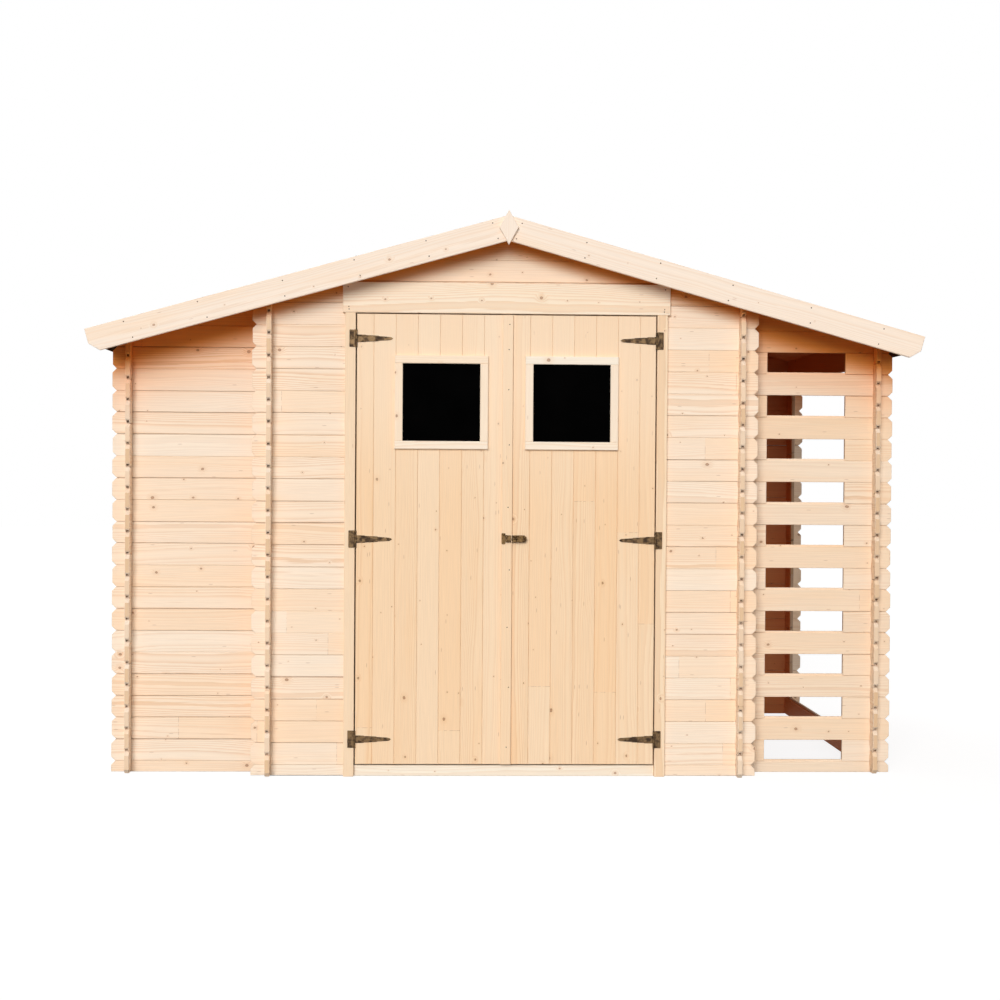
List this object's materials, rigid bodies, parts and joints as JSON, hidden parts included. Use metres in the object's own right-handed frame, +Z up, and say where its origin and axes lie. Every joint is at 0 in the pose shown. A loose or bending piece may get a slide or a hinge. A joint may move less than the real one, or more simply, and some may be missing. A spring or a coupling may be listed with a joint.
{
  "type": "garden shed with log store",
  "caption": "Timber garden shed of interlocking boards under a low gable roof, with glazed double doors, a closed side bay and an open slatted log store.",
  "frame": {"origin": "on the ground under the middle of the roof", "axes": "+Z up, -Y towards the viewer in front of the doors, +X to that viewer's right, where the log store is"},
  "size_m": [3.3132, 2.2676, 2.2513],
  "materials": {
    "timber": "raw planed spruce, matte",
    "door_timber": "raw planed spruce, matte",
    "trim_timber": "raw planed spruce, matte",
    "roof_timber": "raw planed spruce, matte",
    "felt": "matte bitumen felt",
    "pane": "dark glossy pane",
    "zinc_hinge": "yellow passivated zinc, satin",
    "bolt_metal": "dark yellow passivated zinc, satin"
  },
  "bodies": {
    "shed": {"front_wall_left": "timber", "front_wall_right": "timber", "front_gable": "timber", "left_jamb": "trim_timber", "right_jamb": "trim_timber", "door_sill": "timber", "door_head": "trim_timber", "store_front_wall": "timber", "store_side_wall": "timber", "passage_head": "timber", "passage_returns": "timber", "rear_wall": "timber", "log_partition": "timber", "log_front_sill": "timber", "log_front_slats": "timber", "log_front_blocks": "timber", "log_front_head": "timber", "log_side_sill": "timber", "log_side_head": "timber", "log_side_returns": "timber", "ridge_beam": "roof_timber", "roof_boards_left": "roof_timber", "roof_boards_right": "roof_timber", "roof_felt": "felt", "front_barge_left": "trim_timber", "front_barge_right": "trim_timber", "rear_barge_left": "trim_timber", "rear_barge_right": "trim_timber", "finials": "trim_timber", "hinge_plates": "zinc_hinge"},
    "left_door": {"left_door_boards": "door_timber", "left_door_ledges": "door_timber", "left_window_frame": "trim_timber", "left_window_pane": "pane", "left_hinge_straps": "zinc_hinge", "door_cover_strip": "trim_timber", "bolt_keep": "bolt_metal"},
    "right_door": {"right_door_boards": "door_timber", "right_door_ledges": "door_timber", "right_window_frame": "trim_timber", "right_window_pane": "pane", "right_hinge_straps": "zinc_hinge", "bolt_body": "bolt_metal"},
    "bolt": {"bolt_bar": "bolt_metal"}
  },
  "joints": [
    {"name": "left_door_swing", "type": "hinge", "parent": "shed", "child": "left_door", "pos_m": [-0.6005, -1.0113, 0.95], "axis": [0, 0, -1], "range_deg": [0, 160]},
    {"name": "right_door_swing", "type": "hinge", "parent": "shed", "child": "right_door", "pos_m": [0.6005, -1.0113, 0.95], "axis": [0, 0, 1], "range_deg": [0, 160]},
    {"name": "bolt_slide", "type": "slide", "parent": "right_door", "child": "bolt", "axis": [-1, 0, 0], "range_m": [0, 0.016]}
  ]
}
